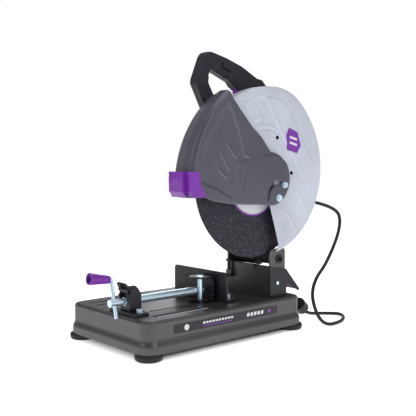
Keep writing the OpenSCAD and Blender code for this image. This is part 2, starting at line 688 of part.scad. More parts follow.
module outer_flange() color(zinc) difference() {
    x_cyl(38, disc_out, disc_out + 5, spindle_y, spindle_z);
    x_cyl(35, disc_out - 1, disc_out + 0.8, spindle_y, spindle_z);
    x_cyl(disc_bore_r, disc_out - 1, disc_out + 1.1, spindle_y, spindle_z);
    x_cyl(5.2, disc_out - 1, disc_out + 6, spindle_y, spindle_z);
}

module flange_bolt() color(zinc) {
    x_cyl(12, disc_out + 5, disc_out + 7.5, spindle_y, spindle_z);
    x_hex(17, disc_out + 7.5, disc_out + 14, spindle_y, spindle_z);
    x_cyl(5, disc_out - 11, disc_out + 6, spindle_y, spindle_z);
}

// ---- guards ------------------------------------------------------------------

near_x = 134;                                // outer face of the fixed guard's right plate
guard_y = spindle_y + 12;
guard_z = spindle_z + 25;
relief_y = spindle_y + 35;                   // flatter top, so the moving guard clears it
relief_z = spindle_z - 35;
relief_r = 249;
skin = 3;

module guard_solid(inset) intersection() {
    x_turn(guard_y, guard_z) polygon([[0, near_x - inset], [guard_r - 12 - inset, near_x - inset],
        [guard_r - inset, near_x - 12 - inset * 0.4], [guard_r - inset, case_x1 + inset], [0, case_x1 + inset]]);
    x_turn(relief_y, relief_z) polygon([[0, near_x + 1], [relief_r - inset, near_x + 1], [relief_r - inset, 112],
        [relief_r - 10 - inset, case_x1], [relief_r - 10.4 - inset, case_x1 - 1], [0, case_x1 - 1]]);
}

// The open front of the fixed guard, as [y, z] from the spindle.
guard_mouth = [[25, -52], [57, -149], [50, -176], [40, -270], [-270, -270], [-270, 222], [25, -41]];

module fixed_guard() color(light_grey) difference() {
    guard_solid(0);
    guard_solid(skin);
    x_prism(case_x1 - 1, near_x + 1) translate([spindle_y, spindle_z]) polygon(guard_mouth);
    // clearance for the bracket's legs and the return spring
    box(case_x1 - 1, near_x - 6, guard_y, guard_y + guard_r, pivot_z, pivot_z + 39);
    // room for the gearcase nose, and a port for changing the disc
    x_cyl(nose_r + 1, case_x1 - 1, case_x1 + 5, spindle_y, spindle_z);
    x_cyl(42, near_x - 6, near_x + 1, spindle_y, spindle_z);
    for (a = guard_screw_a) x_cyl(3.1, case_x1 - 1, case_x1 + 4, spindle_y + 40 * cos(a), spindle_z + 40 * sin(a));
    x_cyl(4.6, near_x - 5, near_x + 1, spindle_y + 51, spindle_z + 98);
    x_cyl(4.6, near_x - 5, near_x + 1, spindle_y + 100, spindle_z + 16);
    x_cyl(5.05, near_x - 5, near_x + 1, hinge_y, hinge_z);
    x_cyl(4.05, near_x - 5, near_x + 1, hinge_y + stop_d * cos(stop_a), hinge_z + stop_d * sin(stop_a));
}

module guard_screws() color(zinc) for (a = guard_screw_a) {
    x_cyl(3, case_x1 - 3.9, case_x1 + 3, spindle_y + 40 * cos(a), spindle_z + 40 * sin(a));
    x_hex(9, case_x1 + 3, case_x1 + 7, spindle_y + 40 * cos(a), spindle_z + 40 * sin(a));
}

cover_x = 142;                               // outer face of the moving guard
cover_y = spindle_y + 45.6;
cover_z = spindle_z - 17;
boss_x = cover_x + 3;

module guard_bolt(y, z, r) {
    x_cyl(r, near_x - 8, boss_x + 1, y, z);
    x_hex(13, near_x - skin - 5.5, near_x - skin - 0.1, y, z);
    x_cyl(r + 3.5, boss_x + 0.1, boss_x + 1.2, y, z);
    x_hex(12, boss_x + 1.2, boss_x + 5.5, y, z);
}

module guard_pivot_bolt() color(zinc) guard_bolt(hinge_y, hinge_z, 5);

module guard_stop_bolt() color(zinc)
    guard_bolt(hinge_y + stop_d * cos(stop_a), hinge_z + stop_d * sin(stop_a), 4);

module cover_solid(inset) x_turn(cover_y, cover_z) polygon([[0, cover_x - inset], [cover_r - 6 - inset, cover_x - inset],
    [cover_r - inset, cover_x - 8], [cover_r - inset, 112], [cover_r - 12 - inset, 76 - 3 + inset], [0, 73 + inset]]);

// Right-hand plate of the moving guard, as [y, z] from the spindle.
cover_plate = [[-94, 177], [-37, 119], [-9, 98], [22, 64], [28, -57], [-92, -51], [-150, -43], [-179, -33],
    [-300, -33], [-300, 300], [-168, 300]];
// Rim and left-hand band of the moving guard.
cover_band = [[-94, 177], [-88, 165], [-120, 110], [-140, 60], [-150, 0], [-150, -33],
    [-300, -33], [-300, 300], [-168, 300]];

module moving_guard() color(dark_grey) difference() {
    union() {
        intersection() {
            difference() {
                cover_solid(0);
                cover_solid(skin);
            }
            translate([0, spindle_y, spindle_z]) union() {
                x_prism(106, boss_x) polygon(cover_plate);
                x_cyl(61, 130, boss_x, 22, 3);
                x_prism(70, 110) polygon(cover_band);
            }
        }
        // raised boss round the pivot bolt
        translate([0, spindle_y, spindle_z]) intersection() {
            x_cyl(85, cover_x - 1, boss_x, 20, -28);
            union() {
                x_prism(130, boss_x) polygon(cover_plate);
                x_cyl(61, 130, boss_x, 22, 3);
            }
        }
        x_cyl(9, near_x + 0.2, cover_x, hinge_y, hinge_z);
    }
    x_cyl(5 + run, near_x - 1, boss_x + 1, hinge_y, hinge_z);
    translate([0, hinge_y, hinge_z]) slot_cut();
}

slot_a0 = stop_a;
slot_a1 = 182;

// The arc slot that runs round the stop bolt.
module slot_cut() {
    translate([near_x - 1, 0, 0]) rotate([90, 0, 90]) rotate([0, 0, slot_a0]) rotate_extrude(angle = slot_a1 - slot_a0)
        translate([stop_d - 4.6, 0]) square([9.2, boss_x - near_x + 2]);
    for (a = [slot_a0, slot_a1]) x_cyl(4.6, near_x - 1, boss_x + 1, stop_d * cos(a), stop_d * sin(a));
}

// Coloured bumper along the moving guard's front edge, as [y, z] from the spindle.
lip_outline = [[-229, 22], [-208, 22], [-190, -4], [-179, -32], [-218, -32], [-231, -20], [-232, 8]];

lip_screw_x = [96, 122];
lip_screw_z = spindle_z + 4;
lip_front = spindle_y - 232;

module guard_lip() color(accent) difference() {
    translate([0, spindle_y, spindle_z]) union() {
        x_prism(86, 130) polygon(lip_outline);
        x_prism(74, 143.5) polygon([[-222, 22], [-196, 22], [-190, -4], [-176, -32], [-214, -32], [-220, -20]]);
    }
    cover_solid(-0.1);
    for (x = lip_screw_x) {
        y_cyl(1.55, lip_front - 1, lip_front + 20, x, lip_screw_z);
        y_cyl(3.2, lip_front - 8, lip_front + 3, x, lip_screw_z);
    }
}

module lip_screws() color(accent) for (x = lip_screw_x) {
    y_cyl(3, lip_front + 0.6, lip_front + 2.9, x, lip_screw_z);
    y_cyl(1.5, lip_front + 1, lip_front + 13, x, lip_screw_z);
}

// ---- handle ------------------------------------------------------------------

// Outer and window outlines of the D-handle, as [y, z] from the spindle.
grip_outer = [[-58, 70], [-99, 159], [-130, 216], [-129, 226], [-108, 277], [-101, 286], [-90, 290], [-78, 289],
    [-37, 280], [12, 265], [64, 240], [79, 239], [92, 227], [118, 196], [112, 128], [92, 104], [60, 88], [-30, 88],
    [-45, 70]];
grip_window = [[-40, 132], [-74, 190], [-92, 220], [-89, 245], [-84, 250], [-22, 226], [-14, 216], [0, 208],
    [30, 208], [52, 196], [66, 170], [64, 142], [44, 126], [-28, 122]];
grip_half = 12;
trigger_pocket = [[-6, 198], [34, 198], [34, 226], [-6, 237]];

module handle_half(x0, x1) translate([0, spindle_y, spindle_z]) x_prism(x0, x1) difference() {
    polygon(grip_outer);
    polygon(grip_window);
}

handle_screw_at = [[-110, 214], [-98, 268], [58, 222], [98, 150], [-46, 100]];

module handle_hollow() translate([0, spindle_y, spindle_z]) {
    x_prism(handle_x - 9, handle_x + 9) polygon(trigger_pocket);
    x_prism(handle_x - 8, handle_x + 8) polygon([[34, 210], [52, 206], [52, 226], [34, 236]]);
}

module handle_left() color(black) difference() {
    handle_half(handle_x - grip_half, handle_x);
    handle_hollow();
    for (p = handle_screw_at) {
        x_cyl(2.1, handle_x - 20, handle_x + 1, spindle_y + p[0], spindle_z + p[1]);
        x_cyl(4.2, handle_x - 20, handle_x - 9, spindle_y + p[0], spindle_z + p[1]);
    }
    motor_seat();
    switch_pin_hole(handle_x - 11, handle_x + 1);
}

module handle_right() color(black) difference() {
    handle_half(handle_x, handle_x + grip_half);
    handle_hollow();
    for (p = handle_screw_at) x_cyl(1.9, handle_x - 1, handle_x + 9, spindle_y + p[0], spindle_z + p[1]);
    motor_seat();
    switch_pin_hole(handle_x - 1, handle_x + 11);
    lock_pocket();
}

module motor_seat() {
    x_cyl(motor_r + 0.1, 0, case_x0 + 1.1, motor_y, motor_z);
    x_prism(case_x0 - 0.1, case_x1) case_outline(0.1);
}

module switch_pin_hole(x0, x1) x_cyl(2 + run, x0, x1, spindle_y + 30, spindle_z + 222);

module handle_screws() color(zinc) for (p = handle_screw_at) {
    x_cyl(1.85, handle_x - 10, handle_x + 8.5, spindle_y + p[0], spindle_z + p[1]);
    x_cyl(4, handle_x - 11.5, handle_x - 9, spindle_y + p[0], spindle_z + p[1]);
}

module switch_body() color(black) translate([0, spindle_y, spindle_z])
    x_prism(handle_x - 7.8, handle_x + 7.8) polygon([[34.5, 211], [51.5, 207], [51.5, 225], [34.5, 235]]);

trigger_outline = [[-1, 202], [4, 197], [20, 196], [31, 205], [33, 217], [33, 224], [27, 226], [0, 228]];

module trigger() color(accent) union() {
    translate([0, spindle_y, spindle_z]) x_prism(handle_x - 8, handle_x + 8) polygon(trigger_outline);
    x_cyl(2, handle_x - 10.5, handle_x + 10.5, spindle_y + 30, spindle_z + 222);
}

// Button in the right side of the grip, as [y, z] from the spindle.
lock_at = [-36, 259];
lock_lean = -18;

module lock_shape(grow) translate([0, spindle_y + lock_at[0], spindle_z + lock_at[1]]) rotate([lock_lean, 0, 0])
    x_prism(handle_x + 4, handle_x + grip_half + 4) square([30 + grow, 10 + grow], center = true);

module lock_pocket() intersection() {
    lock_shape(0.2);
    box(handle_x + 4, handle_x + 30, spindle_y - 90, spindle_y, spindle_z + 200, spindle_z + 300);
}

module lock_button() color(dark_grey) intersection() {
    lock_shape(0);
    box(handle_x + 7, handle_x + grip_half + 2, spindle_y - 90, spindle_y, spindle_z + 200, spindle_z + 300);
}

module spindle_lock() color(black) {
    x_cyl(4, case_x0 - 16, case_x0 + 5, lock_pin_y, lock_pin_z);
    x_cyl(7, case_x0 - 20, case_x0 - 6, lock_pin_y, lock_pin_z);
}

// ---- assembly ------------------------------------------------------------------

base_pan();
rubber_feet();
foot_screws();
side_label();
pivot_bracket();
pivot_shaft();
shaft_clips();
torsion_spring();
stop_bolt();
spark_deflector();
deflector_screw();
vise_bracket();
bracket_bolts();
latch_pin();
fence_pivot_bolt();
power_cord();
cord_plug();
fence();
fence_clamp_bolt();
release_latch();
vise_jaw();
jaw_pin();
vise_screw();
crank_arm();
crank_grip();
head_arm();
gearcase_cover();
motor_housing();
motor_end_cap();
field_coil();
brush_caps();
spindle_bearings();
motor_bearings();
cord_sleeve();
fixed_guard();
guard_screws();
guard_pivot_bolt();
guard_stop_bolt();
handle_left();
handle_right();
handle_screws();
switch_body();
armature();
cooling_fan();
spindle();
drive_gear();
inner_flange();
cutting_disc();
disc_label();
outer_flange();
flange_bolt();
moving_guard();
guard_lip();
lip_screws();
trigger();
lock_button();
spindle_lock();
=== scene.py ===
"""Looks for the abrasive chop saw: materials, detailed shells, cord, studio light and camera.

Everything is in metres in the CAD frame: origin on the floor under the middle of the base,
+X to the operator's right, +Y to the back, +Z up.
"""

import json
import math

import bmesh
import bpy
import numpy as np
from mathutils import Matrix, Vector


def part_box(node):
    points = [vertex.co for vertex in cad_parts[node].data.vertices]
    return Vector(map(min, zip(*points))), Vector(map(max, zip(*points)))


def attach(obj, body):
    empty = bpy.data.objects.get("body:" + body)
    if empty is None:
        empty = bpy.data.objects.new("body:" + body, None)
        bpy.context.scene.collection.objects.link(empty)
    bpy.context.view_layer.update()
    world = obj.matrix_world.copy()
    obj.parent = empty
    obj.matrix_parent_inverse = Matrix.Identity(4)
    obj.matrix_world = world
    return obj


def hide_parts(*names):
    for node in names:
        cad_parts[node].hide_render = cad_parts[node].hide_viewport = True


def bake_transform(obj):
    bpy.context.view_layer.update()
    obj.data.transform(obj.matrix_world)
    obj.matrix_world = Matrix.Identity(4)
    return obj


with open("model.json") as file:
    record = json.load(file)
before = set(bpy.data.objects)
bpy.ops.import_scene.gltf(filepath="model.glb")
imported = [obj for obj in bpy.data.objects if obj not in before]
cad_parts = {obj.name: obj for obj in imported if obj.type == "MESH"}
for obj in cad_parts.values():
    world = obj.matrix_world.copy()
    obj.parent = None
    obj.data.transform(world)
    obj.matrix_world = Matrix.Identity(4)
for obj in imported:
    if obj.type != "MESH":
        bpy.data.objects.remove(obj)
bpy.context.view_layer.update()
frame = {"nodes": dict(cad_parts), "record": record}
nodes = frame["nodes"]
MM = 0.001

# ---- places taken from the CAD frame -----------------------------------------


def middle(node):
    low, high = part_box(node)
    return (low + high) / 2


SPINDLE = middle("cutting_disc")
NEAR_GUARD_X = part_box("fixed_guard")[1].x
HANDLE_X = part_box("handle_right")[0].x


def from_spindle(points):
    """Points given in millimetres to the back of and above the disc spindle, as frame (y, z)."""
    return np.array([(SPINDLE.y + y * MM, SPINDLE.z + z * MM) for y, z in points])


# ---- materials ------------------------------------------------------------------


class Tree:
    """A short way to build a material's nodes."""

    def __init__(self, name):
        self.material = bpy.data.materials.new(name)
        self.material.use_nodes = True
        self.nodes = self.material.node_tree.nodes
        self.links = self.material.node_tree.links
        self.bsdf = self.nodes["Principled BSDF"]
        self.place = self.nodes.new("ShaderNodeTexCoord").outputs["Object"]

    def add(self, kind, **inputs):
        node = self.nodes.new(kind)
        for key, value in inputs.items():
            self.feed(node.inputs[key.replace("_", " ")], value)
        return node

    def feed(self, socket, value):
        if isinstance(value, bpy.types.NodeSocket):
            self.links.new(value, socket)
        else:
            socket.default_value = value

    def noise(self, scale, detail=3.0, rough=0.55, vector=None):
        return self.add(
            "ShaderNodeTexNoise", Vector=vector or self.place, Scale=scale, Detail=detail, Roughness=rough
        ).outputs["Fac"]

    def ramp(self, value, stops, constant=False):
        node = self.add("ShaderNodeValToRGB", Fac=value)
        node.color_ramp.interpolation = "CONSTANT" if constant else "LINEAR"
        band = node.color_ramp.elements
        while len(band) < len(stops):
            band.new(0.5)
        for element, (at, colour) in zip(band, stops):
            element.position = at
            element.color = (*colour, 1.0) if len(colour) == 3 else colour
        return node.outputs["Color"]

    def math(self, operation, a, b=0.0):
        node = self.nodes.new("ShaderNodeMath")
        node.operation = operation
        self.feed(node.inputs[0], a)
        self.feed(node.inputs[1], b)
        return node.outputs[0]

    def mix(self, factor, a, b):
        node = self.nodes.new("ShaderNodeMix")
        node.data_type = "RGBA"
        self.feed(node.inputs["Factor"], factor)
        self.feed(node.inputs["A"], a)
        self.feed(node.inputs["B"], b)
        return node.outputs["Result"]

    def times(self, a, b):
        """One colour multiplied by another."""
        node = self.nodes.new("ShaderNodeMix")
        node.data_type = "RGBA"
        node.blend_type = "MULTIPLY"
        self.feed(node.inputs["Factor"], 1.0)
        self.feed(node.inputs["A"], a)
        self.feed(node.inputs["B"], b)
        return node.outputs["Result"]

    def spread(self, value, middle, width):
        """A 0 to 1 value turned into one that varies by width about a middle."""
        node = self.nodes.new("ShaderNodeMath")
        node.operation = "MULTIPLY_ADD"
        self.feed(node.inputs[0], value)
        node.inputs[1].default_value = width
        node.inputs[2].default_value = middle - width / 2
        return node.outputs[0]

    def stretched(self, x, y, z):
        """The place, with each axis scaled, for brushed and layered looks."""
        node = self.nodes.new("ShaderNodeVectorMath")
        node.operation = "MULTIPLY"
        self.feed(node.inputs[0], self.place)
        node.inputs[1].default_value = (x, y, z)
        return node.outputs[0]

    def bump(self, height, depth, strength=1.0, below=None):
        node = self.add("ShaderNodeBump", Height=height, Distance=depth, Strength=strength)
        if below is not None:
            self.links.new(below, node.inputs["Normal"])
        return node.outputs["Normal"]

    def set(self, **inputs):
        for key, value in inputs.items():
            self.feed(self.bsdf.inputs[key.replace("_", " ")], value)
        return self.material


def shade(colour, factor):
    return tuple(min(1.0, c * factor) for c in colour[:3]) + (1.0,)


def edges(tree, low=0.52, high=0.6):
    """How sharp an outward edge is, for paint that has worn a little."""
    point = tree.nodes.new("ShaderNodeNewGeometry").outputs["Pointiness"]
    return tree.ramp(point, [(low, (0, 0, 0)), (high, (1, 1, 1))])


def painted(
    name, colour, rough=0.38, metallic=0.35, flake=2200, coat=0.15, wear=0.25, peel=0.00004, shine=0.5
):
    """Powder-coated or painted sheet: mottled colour, fine flake, orange peel, rubbed edges."""
    t = Tree(name)
    broad = t.ramp(t.noise(9, 4), [(0.3, shade(colour, 0.86)[:3]), (0.7, shade(colour, 1.14)[:3])])
    fine = t.ramp(t.noise(flake, 1), [(0.35, (0.9, 0.9, 0.9)), (0.75, (1.16, 1.16, 1.16))])
    worn = t.math("MULTIPLY", edges(t), wear)
    tone = t.mix(worn, t.times(broad, fine), shade(colour, 2.2))
    gloss = t.spread(t.noise(14, 5), rough, 0.1)
    peel_bump = t.bump(t.noise(700, 2), peel)
    return t.set(
        Base_Color=tone,
        Metallic=metallic,
        Roughness=gloss,
        Normal=peel_bump,
        Coat_Weight=coat,
        Coat_Roughness=0.2,
        Specular_IOR_Level=shine,
    )


def plated(name, colour=(0.72, 0.78, 0.86), rough=0.2, streak=(30, 30, 900), metallic=0.8):
    """Zinc plate: cool metal, cloudy in places, with fine drawing marks."""
    t = Tree(name)
    patch = t.ramp(
        t.noise(7, 3), [(0.3, shade(colour, 0.9)[:3]), (0.55, colour), (0.75, shade(colour, 1.08)[:3])]
    )
    marks = t.noise(1.0, 3, vector=t.stretched(*streak))
    gloss = t.spread(marks, rough + 0.05, 0.22)
    return t.set(Base_Color=patch, Metallic=metallic, Roughness=gloss, Normal=t.bump(marks, 0.00003))


def moulded(name, colour, rough=0.5, grain=1500, depth=0.00006, shine=0.32):
    """Moulded plastic or rubber with a spark-eroded grain and slight handling marks."""
    t = Tree(name)
    tone = t.ramp(t.noise(18, 5), [(0.3, shade(colour, 0.85)[:3]), (0.75, shade(colour, 1.2)[:3])])
    worn = t.math("MULTIPLY", edges(t), 0.3)
    tone = t.mix(worn, tone, shade(colour, 1.9))
    gloss = t.spread(t.noise(35, 5), rough, 0.18)
    texture = t.bump(t.noise(grain, 2, 0.6), depth)
    return t.set(Base_Color=tone, Roughness=gloss, Normal=texture, Specular_IOR_Level=shine)


def radius_from(t, centre):
    """Distance from an axis along X, in millimetres."""
    shifted = t.nodes.new("ShaderNodeVectorMath")
    shifted.operation = "SUBTRACT"
    t.feed(shifted.inputs[0], t.place)
    shifted.inputs[1].default_value = centre
    flat = t.nodes.new("ShaderNodeVectorMath")
    flat.operation = "MULTIPLY"
    t.feed(flat.inputs[0], shifted.outputs[0])
    flat.inputs[1].default_value = (0, 1 / MM, 1 / MM)
    size = t.nodes.new("ShaderNodeVectorMath")
    size.operation = "LENGTH"
    t.feed(size.inputs[0], flat.outputs[0])
    return size.outputs["Value"]


def abrasive(name):
    """Bonded grit: near-black resin with grey grains, a few bright ones that are partly real pale grit and
    partly painted glints, and a little dust.
    """
    t = Tree(name)
    cell = t.add("ShaderNodeTexVoronoi", Vector=t.place, Scale=520.0)
    # The brightest cells are partly pale grit and partly painted highlight, standing in for glints on the
    # rough disc.
    grain = t.ramp(
        cell.outputs["Color"],
        [
            (0.0, (0.006, 0.006, 0.01)),
            (0.45, (0.013, 0.013, 0.021)),
            (0.8, (0.034, 0.034, 0.052)),
            (0.97, (0.18, 0.18, 0.22)),
        ],
    )
    dust = t.ramp(t.noise(60, 5), [(0.35, (0.8, 0.8, 0.8)), (0.7, (1.25, 1.2, 1.2))])
    low = t.bump(t.noise(900, 3), 0.0003)
    rough = t.bump(cell.outputs["Distance"], 0.0004, below=low)
    return t.set(Base_Color=t.times(grain, dust), Roughness=0.78, Normal=rough)


def printed_paper(name, ring_colour):
    """The disc's paper label: off-white, with a dark inner ring and a coloured line and rim band."""
    t = Tree(name)
    radius = radius_from(t, tuple(SPINDLE))
    share = t.math("DIVIDE", radius, 100.0)
    paper = (0.78, 0.79, 0.82)
    bands = t.ramp(
        share,
        [
            (0.0, paper),
            (0.50, (0.06, 0.06, 0.07)),
            (0.515, paper),
            (0.755, ring_colour),
            (0.765, paper),
            (0.785, ring_colour),
        ],
        constant=True,
    )
    fibre = t.ramp(t.noise(900, 3), [(0.3, (0.9, 0.9, 0.9)), (0.7, (1.05, 1.05, 1.05))])
    surface = t.bump(t.noise(1200, 2), 0.00003)
    return t.set(Base_Color=t.times(bands, fibre), Roughness=0.42, Normal=surface)


def layered(name, dark, light, pitch, metallic=0.9):
    """Stacked sheets or wound wire: fine bands along X."""
    t = Tree(name)
    wave = t.add("ShaderNodeTexWave", Vector=t.place, Scale=pitch, Distortion=1.5, Detail=2.0)
    tone = t.ramp(wave.outputs["Fac"], [(0.2, dark), (0.8, light)])
    return t.set(
        Base_Color=tone, Metallic=metallic, Roughness=0.4, Normal=t.bump(wave.outputs["Fac"], 0.0002)
    )


PURPLE = (0.175, 0.022, 0.33)
LOOKS = {
    "base_paint": painted("base_paint", (0.09, 0.082, 0.086), 0.36, 0.65, wear=0.2, coat=0.08),
    "guard_dark": painted("guard_dark", (0.088, 0.086, 0.112), 0.38, 0.3, wear=0.12),
    "guard_light": painted("guard_light", (0.53, 0.56, 0.63), 0.4, 0.1, wear=0.0),
    "black_paint": painted(
        "black_paint", (0.014, 0.0125, 0.018), 0.4, 0.1, wear=0.4, peel=0.00008, coat=0.05, shine=0.35
    ),
    "zinc": plated("zinc", (0.7, 0.86, 0.98), 0.24),
    "aluminium": plated("aluminium", (0.6, 0.61, 0.63), 0.42, (300, 300, 300)),
    "black_plastic": moulded("black_plastic", (0.0155, 0.0145, 0.024), 0.42),
    "accent_plastic": moulded("accent_plastic", PURPLE, 0.34, 900, 0.00003, shine=0.5),
    "rubber": moulded("rubber", (0.013, 0.013, 0.019), 0.5, 900, 0.0001),
    "label_film": moulded("label_film", (0.018, 0.017, 0.02), 0.3, 500, 0.00001),
    "disc_abrasive": abrasive("disc_abrasive"),
    "disc_paper": printed_paper("disc_paper", (0.14, 0.015, 0.26)),
    "laminations": layered("laminations", (0.2, 0.2, 0.21), (0.5, 0.5, 0.52), 350),
    "copper": layered("copper", (0.3, 0.1, 0.04), (0.8, 0.36, 0.16), 200),
}
SLOT_OF = {part["node"]: part["material_slot"] for part in frame["record"]["subparts"]}


def wear_look(obj, slot):
    obj.data.materials.clear()
    obj.data.materials.append(LOOKS[slot])


# ---- carried-over CAD nodes -----------------------------------------------------

BEVEL_MM = {
    "base_pan": 0.6,
    "fence": 0.9,
    "vise_jaw": 0.7,
    "vise_bracket": 0.9,
    "guard_lip": 2.2,
    "pivot_bracket": 0.5,
    "trigger": 2.0,
    "lock_button": 1.2,
    "rubber_feet": 1.2,
    "head_arm": 1.5,
    "motor_housing": 1.2,
    "motor_end_cap": 1.0,
    "cord_plug": 1.5,
    "flange_bolt": 0.8,
}
DEFAULT_BEVEL_MM = 0.35


def soften(obj, width, segments=2):
    """Joins split corners, rounds the sharp edges and evens the shading. The mesh data stays."""
    weld = obj.modifiers.new("weld", "WELD")
    weld.merge_threshold = 0.00001
    bevel = obj.modifiers.new("bevel", "BEVEL")
    bevel.width = width * MM
    bevel.segments = segments
    bevel.limit_method = "ANGLE"
    bevel.angle_limit = math.radians(32)
    bevel.use_clamp_overlap = True
    obj.modifiers.new("normals", "WEIGHTED_NORMAL").keep_sharp = True


for name, node in nodes.items():
    wear_look(node, SLOT_OF[name])
    soften(node, BEVEL_MM.get(name, DEFAULT_BEVEL_MM))

# ---- shapes made here, in place of plainer CAD nodes --------------------------------


def link(name, mesh, slot, body):
    """Puts a mesh in the scene with a material slot's look, riding on a CAD body."""
    obj = bpy.data.objects.new(name, mesh)
    bpy.context.scene.collection.objects.link(obj)
    wear_look(obj, slot)
    if body:
        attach(obj, body)
    return obj


def fine_copy(names, voxel, rounds):
    """CAD nodes as one even, fine mesh with its edges rounded by a number of smoothing rounds."""
    joined = bmesh.new()
    for name in names:
        joined.from_mesh(nodes[name].data)
    mesh = bpy.data.meshes.new("fine")
    joined.to_mesh(mesh)
    joined.free()
    obj = bpy.data.objects.new("fine", mesh)
    bpy.context.scene.collection.objects.link(obj)
    obj.modifiers.new("weld", "WELD").merge_threshold = 0.00001
    remesh = obj.modifiers.new("remesh", "REMESH")
    remesh.mode = "VOXEL"
    remesh.voxel_size = voxel * MM
    remesh.use_smooth_shade = True
    smooth = obj.modifiers.new("smooth", "SMOOTH")
    smooth.factor = 0.5
    smooth.iterations = rounds
    fine = bpy.data.meshes.new_from_object(obj.evaluated_get(bpy.context.evaluated_depsgraph_get()))
    bpy.data.objects.remove(obj)
    return fine


def read_points(mesh):
    flat = np.zeros(len(mesh.vertices) * 3)
    mesh.vertices.foreach_get("co", flat)
    return flat.reshape(-1, 3)


def write_points(mesh, points):
    mesh.vertices.foreach_set("co", points.ravel())
    mesh.update()


def step(value, low, high):
    """0 below low, 1 above high, smooth between."""
    share = np.clip((value - low) / (high - low), 0, 1)
    return share * share * (3 - 2 * share)


def distance_to(line, points):
    """How far each (y, z) point is from a line of (y, z) corners."""
    nearest = np.full(len(points), 1e9)
    for a, b in zip(line[:-1], line[1:]):
        run = b - a
        share = np.clip(((points - a) @ run) / (run @ run), 0, 1)
        nearest = np.minimum(nearest, np.linalg.norm(points - a - share[:, None] * run, axis=1))
    return nearest


def inside(outline, points):
    """Which (y, z) points lie inside a closed outline."""
    found = np.zeros(len(points), bool)
    for a, b in zip(outline, np.roll(outline, -1, axis=0)):
        crosses = (a[1] > points[:, 1]) != (b[1] > points[:, 1])
        height = b[1] - a[1] if b[1] != a[1] else 1e-12
        found ^= crosses & (points[:, 0] < (b[0] - a[0]) * (points[:, 1] - a[1]) / height + a[0])
    return found


def ridge(line, width, points):
    """1 on a line, fading to 0 a width away."""
    line = from_spindle(line)
    return 1 - step(distance_to(line, points), 0.2 * width * MM, width * MM)


def panel(outline, soft, points):
    """1 inside an outline, fading to 0 across a soft edge."""
    outline = from_spindle(outline)
    closed = np.vstack([outline, outline[:1]])
    away = distance_to(closed, points) * np.where(inside(outline, points), 1, -1)
    return step(away, -soft * MM / 2, soft * MM / 2)


# Pressed shapes on the guards, in millimetres from the spindle. A panel is (outline, edge
# softness, rise) and a ridge is (line, width, rise). A negative rise is a groove.
LIGHT_PANELS = [
    ([(8, 188), (42, 189), (77, 178), (97, 150), (177, 41), (166, -33), (111, 42), (58, 114)], 4, 1.5),
    ([(-55, 173), (-30, 183), (1, 138), (-28, 132)], 3, 1.3),
    ([(-85, 177), (-74, 185), (-61, 192), (-53, 184)], 2.5, 1.0),
]
LIGHT_RIDGES = [
    ([(-17, 118), (1, 124), (27, 124), (52, 114)], 3.0, 1.1),
    ([(-10, 112), (9, 117), (31, 115)], 3.0, -0.9),
    ([(120, -27), (153, -73)], 3.5, 1.2),
    ([(84, -78), (117, -119)], 3.5, 1.2),
    ([(-30, 184), (12, 194)], 3.5, 1.0),
]
DARK_FIELD = [
    (-99, 151),
    (-78, 105),
    (-64, 55),
    (-46, 50),
    (-78, 38),
    (-95, 13),
    (-102, -12),
    (-99, -38),
    (-142, -16),
    (-185, -3),
    (-240, 0),
    (-240, 150),
    (-150, 230),
]
DARK_RIBS = [
    [(-138, 28), (-116, 9)],
    [(-129, 60), (-109, 30)],
    [(-109, 77), (-89, 55)],
]


def pressed_guard(name, node, slot, body, relief, start, full):
    """A guard whose right-hand plate has its pressed panels and ribs as real shape."""
    mesh = fine_copy([node], 1.5, 3)
    points = read_points(mesh)
    share = step(points[:, 0], start, full)
    points[:, 0] += relief(points[:, 1:]) * share * MM
    write_points(mesh, points)
    guard = link(name, mesh, slot, body)
    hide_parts(node)
    return guard


def light_relief(points):
    height = sum(rise * panel(outline, soft, points) for outline, soft, rise in LIGHT_PANELS)
    return height + sum(rise * ridge(line, width, points) for line, width, rise in LIGHT_RIDGES)


def dark_relief(points):
    from_middle = np.linalg.norm(points - from_spindle([(45.6, -17)])[0], axis=1)
    fade = 1 - step(from_middle, 224 * MM, 250 * MM)
    depth = -2.8 * panel(DARK_FIELD, 5, points) * fade
    return depth + sum(1.6 * ridge(line, 5.0, points) for line in DARK_RIBS)


pressed_guard("fixed_guard_shell", "fixed_guard", "guard_light", "head", light_relief, 0.124, 0.130)
pressed_guard("moving_guard_shell", "moving_guard", "guard_dark", "cover", dark_relief, 0.126, 0.136)

# Lines pressed into the handle's right face, in millimetres from the spindle: an inset and ribs.
GRIP_INSET = [(-74, 254), (-54, 269), (-44, 269), (-17, 261), (-10, 252), (-11, 247), (-30, 235)]
GRIP_LINES = [
    GRIP_INSET + GRIP_INSET[:1],
    [(-30, 235), (-92, 236), (-112, 222)],
    [(51, 227), (80, 205), (92, 150), (76, 118)],
]


def moulded_handle():
    mesh = fine_copy(["handle_left", "handle_right"], 1.4, 26)
    points = read_points(mesh)
    right_face = step(points[:, 0], HANDLE_X + 0.006, HANDLE_X + 0.010)
    flat = points[:, 1:]
    cut = sum(1.4 * ridge(line, 3.4, flat) for line in GRIP_LINES)
    seam = 0.7 * (1 - step(np.abs(points[:, 0] - HANDLE_X), 0.0004, 0.0018))
    points[:, 0] -= cut * right_face * MM
    normals = np.zeros(len(mesh.vertices) * 3)
    mesh.vertices.foreach_get("normal", normals)
    points -= normals.reshape(-1, 3) * seam[:, None] * MM
    write_points(mesh, points)
    handle = link("handle_shell", mesh, "black_plastic", "head")
    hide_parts("handle_left", "handle_right")


moulded_handle()


def rounded_path(corners, rounds):
    """Corner points made into a smooth line by cutting each corner a few times."""
    path = np.array(corners, float)
    for _ in range(rounds):
        left = 0.75 * path[:-1] + 0.25 * path[1:]
        right = 0.25 * path[:-1] + 0.75 * path[1:]
        inner = np.stack([left, right], axis=1).reshape(-1, 3)
        path = np.vstack([path[:1], inner, path[-1:]])
    return path


